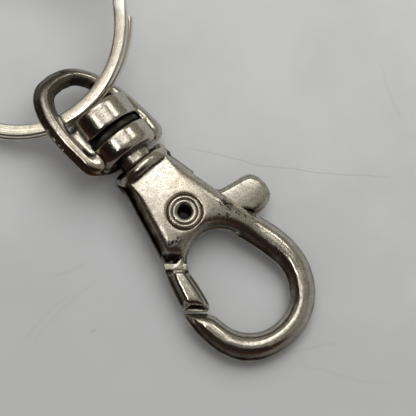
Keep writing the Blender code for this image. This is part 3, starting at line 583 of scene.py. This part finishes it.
spring_steel, spring_tree, spring_shader, spring_place = fresh_material("spring_steel")
browned = between(spring_tree, blotches(spring_tree, spring_place, *SPRING_BLOTCHES), *SPRING_BROWNED)
spring_colour = tinted(spring_tree, browned, SPRING_STEEL, SPRING_BROWN)
spring_tree.links.new(spring_colour, spring_shader.inputs["Base Color"])
spring_tree.links.new(between(spring_tree, browned, 0, 1, *SPRING_SATIN), spring_shader.inputs["Roughness"])
spring_shader.inputs["Metallic"].default_value = 1.0
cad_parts["lever_spring"].data.materials.clear()
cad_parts["lever_spring"].data.materials.append(spring_steel)

# Swivel eye. One casting: the D-shaped loop, and the round hub that turns on the clasp's neck. The
# slot through the hub is where the neck's head is trapped.
EYE_UPRIGHT = (0.33335, -0.08918, 0.93858)
EYE_VOXEL = 0.0001
EYE_TUMBLING = 14
EYE_SOFTNESS = 14
EYE_SATIN = (0.09, 0.17)
# How strong the painted flank shade is
EYE_FLANK_SHADE = 0.7
EYE_PITS = [
    (at_hook(0.3, 26.0, 0.0005), 0.002), (at_hook(0.7, 24.9, 0.0005), 0.0018),
    (at_hook(-0.8, 26.3, 0.0008), 0.0012),
]
# Painted shade under the hub and in two small spots further along the eye
EYE_SHADE_SPOTS = [
    (at_hook(-2.2, 10.8, -0.001), 0.003, 1.0), (at_hook(0.9, 23.7, 0), 0.0017, 0.95),
    (at_hook(2.3, 21.8, 0), 0.0014, 0.9), (at_hook(-3.3, 11.2, 0), 0.0026, 1.0),
]
EYE_MATT = [(at_hook(-4.0, 23.0, 0), 0.009)]
# Painted shade that dims the reflection on the loop's left side
EYE_DIMMED = [(at_hook(-2.9, 25.0, 0), 0.0085, 0.76)]

eye = casting_skin("swivel_eye", "eye_casting", EYE_VOXEL, EYE_TUMBLING, EYE_SOFTNESS, EYE_UPRIGHT)
eye_nickel = worn_nickel(
    "worn_nickel_eye", EYE_SATIN, EYE_FLANK_SHADE, EYE_PITS, shade_spots=EYE_SHADE_SPOTS, matt=EYE_MATT, dimmed=EYE_DIMMED
)
eye.data.materials.append(eye_nickel)
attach(eye, "swivel")
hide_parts("swivel_eye")

# Split ring. One flat spring-steel wire wound for nearly two turns, bright, with fine lines left
# along it by the rolling. It hangs in the eye, tipped down at its far side.
RING_WIRE_WIDTH = 0.0019
RING_WIRE_THICKNESS = 0.0012
RING_WIRE_EDGE = 0.0004
RING_CORNER_STEPS = 5
RING_RADIUS = 0.0163
RING_TURN_GAP = 0.00042
RING_TURN_OFFSET = 0.0009
RING_TURN_SHIFT = 0.00095
# Degrees round the ring: where the wire begins its step from turn to turn, how long the step is, how
# far each end stops from it, and how far apart the wire's points are
RING_STEP_PLACE = 324
RING_STEP = 26
RING_END_GAP = 4
RING_POINT_STEP = 1.5
RING_END_TRIM = 0.9
RING_HINGE_INSET = 0.0013
RING_HINGE_RISE = 0.0008
RING_FRAME = (
    HOOK_FRAME
    @ Matrix.Translation((0.00008, 0.02086, 0.00171))
    @ Matrix.Rotation(math.radians(-6), 4, "X")
    @ Matrix.Rotation(math.radians(-16), 4, "Y")
    @ Matrix.Translation((0, RING_RADIUS - RING_HINGE_INSET, -RING_HINGE_RISE))
)
RING_LIGHT = (0.86, 0.82, 0.74, 1)
RING_DULL = (0.74, 0.7, 0.62, 1)
RING_LINES = (0.3, 0.22, 0.15, 1)
RING_MOTTLE = (700, 3, 0.6)
RING_MOTTLED = (0.35, 0.7)
# The rolled lines: how often they change along the wire, to the metre, and round it, to its width
LINES_ALONG = 45.0
LINES_ROUND = 9.0
LINES = (1.6, 3, 0.7)
LINES_SHOW = (0.5, 0.68, 0.0, 0.6)
LINES_SATIN = (0.3, 0.75, 0.16, 0.32)
LINE_RELIEF = 0.00002
LINE_STRENGTH = 0.7


def ring_path():
    """The middle of the wire, from its lower end to its upper end."""
    first = RING_STEP_PLACE + RING_STEP + RING_END_GAP
    last = RING_STEP_PLACE - RING_END_GAP + 720
    count = round((last - first) / RING_POINT_STEP)
    places = []
    for index in range(count + 1):
        turned_by = first + (last - first) * index / count
        share = min(1.0, max(0.0, (turned_by - 360 - RING_STEP_PLACE) / RING_STEP))
        upper = 1 - share * share * (3 - 2 * share)
        reach = RING_RADIUS - RING_WIRE_WIDTH / 2 - RING_TURN_OFFSET * upper
        angle = math.radians(turned_by)
        aside = reach * math.sin(angle) - RING_TURN_SHIFT * upper
        rise = (RING_WIRE_THICKNESS + RING_TURN_GAP) * (upper - 0.5)
        places.append(Vector((reach * math.cos(angle), aside, rise)))
    return places


def wire_section():
    """The wire's flat section, with rounded corners."""
    across = RING_WIRE_WIDTH / 2 - RING_WIRE_EDGE
    high = RING_WIRE_THICKNESS / 2 - RING_WIRE_EDGE
    section = []
    for x, y, first in ((across, high, 0), (-across, high, 90), (-across, -high, 180), (across, -high, 270)):
        for index in range(RING_CORNER_STEPS + 1):
            angle = math.radians(first + 90 * index / RING_CORNER_STEPS)
            section.append((x + RING_WIRE_EDGE * math.cos(angle), y + RING_WIRE_EDGE * math.sin(angle)))
    return section


def wound_ring():
    """The wire laid along its path. Each point notes how far along and round the wire it lies."""
    path = ring_path()
    section = wire_section()
    ends = (0, len(path) - 1)
    shape = bmesh.new()
    rings, along_wire, round_wire = [], [], []
    walked = 0.0
    for index, place in enumerate(path):
        ahead = path[min(index + 1, ends[1])] - path[max(index - 1, 0)]
        out = Vector((ahead[1], -ahead[0], 0)).normalized()
        up = out.cross(ahead).normalized()
        up = up if up.z > 0 else -up
        if index:
            walked += (place - path[index - 1]).length
        trim = RING_END_TRIM if index in ends else 1.0
        corners = [place + out * across * trim + up * high * trim for across, high in section]
        rings.append([shape.verts.new(corner) for corner in corners])
        for across, high in section:
            along_wire.append(walked)
            lower = 2.0 if high < 0 else 0.0
            round_wire.append(across / RING_WIRE_WIDTH + lower + high / RING_WIRE_THICKNESS)
    count = len(section)
    for one, other in zip(rings, rings[1:]):
        for k in range(count):
            shape.faces.new((one[k], one[(k + 1) % count], other[(k + 1) % count], other[k]))
    shape.faces.new(rings[0])
    shape.faces.new(rings[-1][::-1])
    bmesh.ops.recalc_face_normals(shape, faces=shape.faces)
    mesh = bpy.data.meshes.new("wound_ring")
    shape.to_mesh(mesh)
    shape.free()
    mesh.shade_smooth()
    note_on_points(mesh, "along_wire", along_wire)
    note_on_points(mesh, "round_wire", round_wire)
    piece = bpy.data.objects.new("wound_ring", mesh)
    bpy.context.scene.collection.objects.link(piece)
    return piece


def rolled_steel():
    """Bright steel with fine darker lines along the wire."""
    material, tree, shader, place = fresh_material("rolled_steel")
    along = math_step(tree, "MULTIPLY", noted(tree, "along_wire"), LINES_ALONG)
    around = math_step(tree, "MULTIPLY", noted(tree, "round_wire"), LINES_ROUND)
    on_wire = shader_step(tree, "CombineXYZ", {"X": along, "Y": around}).outputs["Vector"]
    lines = blotches(tree, on_wire, *LINES)
    broad = blotches(tree, place, *RING_MOTTLE)
    colour = tinted(tree, between(tree, broad, *RING_MOTTLED), RING_LIGHT, RING_DULL)
    colour = tinted(tree, between(tree, lines, *LINES_SHOW), colour, RING_LINES)
    tree.links.new(colour, shader.inputs["Base Color"])
    tree.links.new(between(tree, lines, *LINES_SATIN), shader.inputs["Roughness"])
    bump = shader_step(tree, "Bump", {"Height": lines, "Strength": LINE_STRENGTH, "Distance": LINE_RELIEF})
    tree.links.new(bump.outputs["Normal"], shader.inputs["Normal"])
    shader.inputs["Metallic"].default_value = 1.0
    return material


ring = wound_ring()
ring.data.transform(RING_FRAME)
ring.data.set_sharp_from_angle(angle=CREASE)
ring.data.materials.append(rolled_steel())
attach(ring, "ring")
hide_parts("split_ring")

# Table top. A pale satin sheet that the clasp lies on, with faint curved scratches and a little grit.
# It is the stage, not part of the object.
FLOOR_HALF = 0.6
TABLE_ROUGHNESS = 0.55
TABLE_DIM = (0.54, 0.552, 0.565, 1)
TABLE_PALE = (0.66, 0.675, 0.69, 1)
TABLE_CLOUDS = (60, 3, 0.55)
TABLE_CLOUDED = (0.1, 0.9)
# Painted shade: the table is a little darker this way, towards its near side, by so much to the metre
NEARER = (-0.657, -0.754, 0.0)
NEARER_DIMS = -10.0
TABLE_TOP_LEVEL = -0.0039
SCRATCH_COLOUR = (0.3, 0.28, 0.26, 1)
SCRATCH_WOBBLE = 0.0012
SCRATCH_WOBBLE_SCALE = 170
# Each scratch has its two ends from the rivet, how far it bows, its half width and its strength
TABLE_SCRATCHES = (
    ((6.7, 9.1), (27.5, -15.7), 0.0013, 0.00017, 0.3),
    ((-18.9, 2.3), (-27.9, 1.5), 0.0003, 0.0003, 0.1),
    ((-13.4, 4.0), (-20.1, 6.8), -0.0004, 0.0003, 0.1),
    ((36.8, -0.5), (33.4, -10.2), 0.0005, 0.0003, 0.08),
    ((-1.4, -25.5), (7.1, -37.0), 0.0006, 0.0003, 0.1),
    ((-1.5, -23.7), (5.1, -27.8), -0.0003, 0.0003, 0.1),
    ((-13.3, 1.0), (-28.1, 0.1), 0.0008, 0.0003, 0.08),
    ((-19.6, -3.5), (-19.8, -3.9), 0.0, 0.0005, 0.3),
)
GRIT_COLOUR = (0.3, 0.26, 0.22, 1)
GRIT = (1100, 2, 0.5)
GRITTY = (0.72, 0.78, 0.0, 0.12)


def vector_step(tree, operation, first, second, output):
    """One step of arithmetic on two places or directions."""
    return shader_step(tree, "VectorMath", {0: first, 1: second}, operation=operation).outputs[output]


def scratch_mark(tree, place, wobble, start, end, bow, width, strength):
    """How strong one scratch is: a thin bowed line that wavers a little and fades at both ends."""
    start, end = (Vector(at_hook(*corner, TABLE_TOP_LEVEL)) for corner in (start, end))
    run = Vector((end.x - start.x, end.y - start.y, 0))
    ahead = run.normalized()
    away = vector_step(tree, "SUBTRACT", place, tuple(start), "Vector")
    across = vector_step(tree, "DOT_PRODUCT", away, (-ahead.y, ahead.x, 0), "Value")
    across = math_step(tree, "ADD", across, math_step(tree, "MULTIPLY", wobble, SCRATCH_WOBBLE))
    share = vector_step(tree, "DOT_PRODUCT", away, tuple(ahead), "Value")
    share = math_step(tree, "DIVIDE", share, run.length)
    arch = math_step(tree, "MULTIPLY", share, math_step(tree, "SUBTRACT", 1.0, share))
    across = math_step(tree, "ADD", across, math_step(tree, "MULTIPLY", arch, 4 * bow))
    mark = between(tree, math_step(tree, "ABSOLUTE", across), width, width * 0.2, 0.0, strength)
    mark = math_step(tree, "MULTIPLY", mark, between(tree, share, 0.0, 0.15))
    return math_step(tree, "MULTIPLY", mark, between(tree, share, 1.0, 0.85))


def pale_top():
    """The table's satin: faint clouds, painted shade that darkens it towards its near side, the scratches
    and fine grit.
    """
    material, tree, shader, place = fresh_material("pale_top")
    # Painted shade: darker towards the table's near side
    nearer = vector_step(tree, "DOT_PRODUCT", place, NEARER, "Value")
    nearer = math_step(tree, "MULTIPLY", nearer, NEARER_DIMS)
    clouds_and_shade = math_step(tree, "ADD", blotches(tree, place, *TABLE_CLOUDS), nearer)
    colour = tinted(tree, between(tree, clouds_and_shade, *TABLE_CLOUDED), TABLE_DIM, TABLE_PALE)
    wobble = math_step(tree, "SUBTRACT", blotches(tree, place, SCRATCH_WOBBLE_SCALE, 2), 0.5)
    for scratch in TABLE_SCRATCHES:
        colour = tinted(tree, scratch_mark(tree, place, wobble, *scratch), colour, SCRATCH_COLOUR)
    grit = between(tree, blotches(tree, place, *GRIT), *GRITTY)
    tree.links.new(tinted(tree, grit, colour, GRIT_COLOUR), shader.inputs["Base Color"])
    shader.inputs["Roughness"].default_value = TABLE_ROUGHNESS
    return material


floor_shape = bmesh.new()
bmesh.ops.create_grid(floor_shape, x_segments=4, y_segments=4, size=FLOOR_HALF)
floor_mesh = bpy.data.meshes.new("table_top")
floor_shape.to_mesh(floor_mesh)
floor_shape.free()
floor_mesh.materials.append(pale_top())
table_top = bpy.data.objects.new("table_top", floor_mesh)
bpy.context.scene.collection.objects.link(table_top)

# Camera. It looks down on the clasp from its near side, a little turned, so that the ring leaves the
# picture at the top left.
CAMERA_PLACE = Vector((-0.03368, -0.0575, 0.22566))
CAMERA_TURN = Euler((0.2443, 0.0, -0.7173))
CAMERA_LENS = 143.3
CAMERA_SENSOR = 36
CAMERA_NEAREST = 0.01

camera_data = bpy.data.cameras.new("camera")
camera_data.sensor_width = CAMERA_SENSOR
camera_data.lens = CAMERA_LENS
camera_data.clip_start = CAMERA_NEAREST
camera = bpy.data.objects.new("camera", camera_data)
camera.location = CAMERA_PLACE
camera.rotation_euler = CAMERA_TURN
bpy.context.scene.collection.objects.link(camera)
bpy.context.scene.camera = camera

# Lamps. A ceiling lamp and a wide fill light the table and aren't seen in the metal. The skylight, the
# bright pane in it, the window, the doorway and the far lamp are seen only in the metal.
LAMP_WHITE = (1.0, 1.0, 1.0)
# Each lamp has its name, where it stands, how far off, its size, its power and its colour
LIGHTING = (
    ("ceiling", (0.3, 0.4, 1.0), 0.42, (0.33, 0.33), 0.78, LAMP_WHITE),
    ("fill", (-0.2, -0.1, 1.0), 0.9, (2.2, 2.2), 5.4, LAMP_WHITE),
)
REFLECTED = (
    ("skylight", (-0.13, 0.36, 0.92), 0.9, (0.74, 0.62), 1.8, (1.0, 0.99, 0.965)),
    ("bright_pane", (-0.1, 0.42, 0.9), 0.9, (0.26, 0.08), 0.33, (1.0, 0.99, 0.97)),
    ("window", (-0.34, -0.2, 0.92), 0.9, (0.12, 0.1), 0.55, (1.0, 0.985, 0.95)),
    ("doorway", (-0.55, -0.02, 0.83), 0.9, (0.1, 0.13), 0.16, (1.0, 0.93, 0.8)),
    ("far_lamp", (0.47, 0.52, 0.71), 0.9, (0.14, 0.14), 0.3, (1.0, 0.98, 0.93)),
)
PICTURE_TURN = Matrix.Rotation(CAMERA_TURN.z, 3, "Z")


def soft_light(name, towards, distance, size, power, colour):
    """A rectangular lamp that looks at the clasp. towards is (picture right, picture up, height)."""
    direction = (PICTURE_TURN @ Vector(towards)).normalized()
    across = (PICTURE_TURN @ Vector((-towards[1], towards[0], 0))).normalized()
    data = bpy.data.lights.new(name, "AREA")
    data.shape = "RECTANGLE"
    data.size, data.size_y = size
    data.energy = power
    data.color = colour
    lamp = bpy.data.objects.new(name, data)
    facing = Matrix((across, direction.cross(across), direction)).transposed().to_4x4()
    lamp.matrix_world = Matrix.Translation(direction * distance) @ facing
    bpy.context.scene.collection.objects.link(lamp)
    return lamp


for lamp in LIGHTING:
    soft_light(*lamp).visible_glossy = False
for lamp in REFLECTED:
    soft_light(*lamp).visible_diffuse = False

# Room. Pale walls all round that the metal mirrors, with one dim side, towards the picture's lower
# left, which darkens the flanks that face it.
DARK_SIDE = tuple(PICTURE_TURN @ Vector((-0.5, -0.87, 0)))
DARK_FROM = (0.03, 0.22)
DARK_BELOW = (0.98, 0.9)
# The colour of each side by height, from the floor at 0 to overhead at 1
LIGHT_WALLS = (
    (0.0, (0.24, 0.225, 0.185)), (0.4, (0.31, 0.295, 0.25)),
    (0.75, (0.33, 0.318, 0.28)), (1.0, (0.3, 0.292, 0.26)),
)
DARK_WALLS = (
    (0.0, (0.12, 0.065, 0.045)), (0.25, (0.07, 0.034, 0.023)),
    (0.5, (0.025, 0.019, 0.016)), (1.0, (0.035, 0.029, 0.025)),
)

world = bpy.data.worlds.new("room")
bpy.context.scene.world = world
world.use_nodes = True
room = world.node_tree
sky = shader_step(room, "TexCoord").outputs["Generated"]
height = shader_step(room, "SeparateXYZ", {"Vector": sky}).outputs["Z"]


def wall_tones(tones):
    """The colour of the room by height, from the floor to overhead."""
    step = shader_step(room, "ValToRGB", {"Fac": height})
    while len(step.color_ramp.elements) < len(tones):
        step.color_ramp.elements.new(0.5)
    for element, (position, colour) in zip(step.color_ramp.elements, tones):
        element.position = position
        element.color = (*colour, 1)
    return step.outputs["Color"]


turned_away = vector_step(room, "DOT_PRODUCT", sky, DARK_SIDE, "Value")
dark = between(room, turned_away, *DARK_FROM)
dark = math_step(room, "MULTIPLY", dark, between(room, height, *DARK_BELOW))
walls = tinted(room, dark, wall_tones(LIGHT_WALLS), wall_tones(DARK_WALLS))
room.links.new(walls, room.nodes["Background"].inputs["Color"])
bpy.context.scene.view_settings.view_transform = "Standard"
